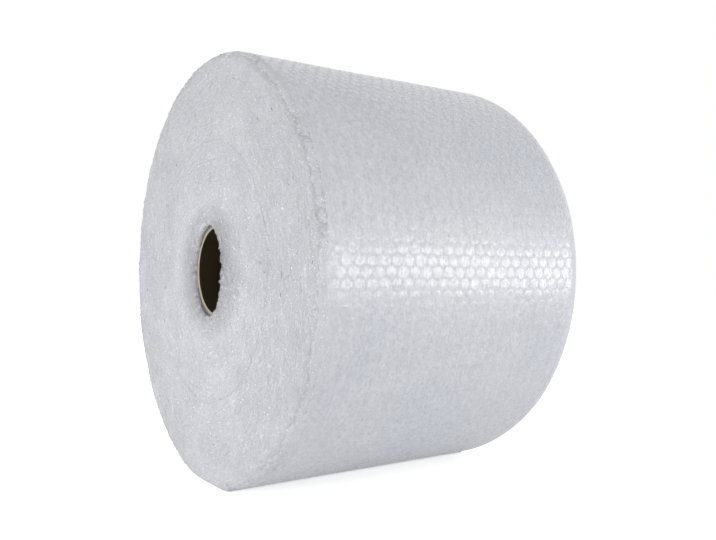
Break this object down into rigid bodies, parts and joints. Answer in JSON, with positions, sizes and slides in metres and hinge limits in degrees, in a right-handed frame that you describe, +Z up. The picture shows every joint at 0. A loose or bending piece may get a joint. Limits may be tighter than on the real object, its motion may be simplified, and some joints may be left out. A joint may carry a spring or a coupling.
{
  "type": "bubble wrap roll",
  "caption": "Full roll of clear air-bubble cushioning film, 300 mm wide, wound on a kraft cardboard core and lying on its side.",
  "frame": {"origin": "middle of the core's bore", "axes": "+Y along the bore towards the back end, +Z up, +X to the right seen from the front end"},
  "size_m": [0.4058, 0.309, 0.4019],
  "materials": {
    "film": "clear polyethylene, milky where many layers lie together",
    "core_board": "plain kraft board, matte"
  },
  "bodies": {
    "root": {"film_roll": "film", "core_tube": "core_board"}
  },
  "joints": []
}
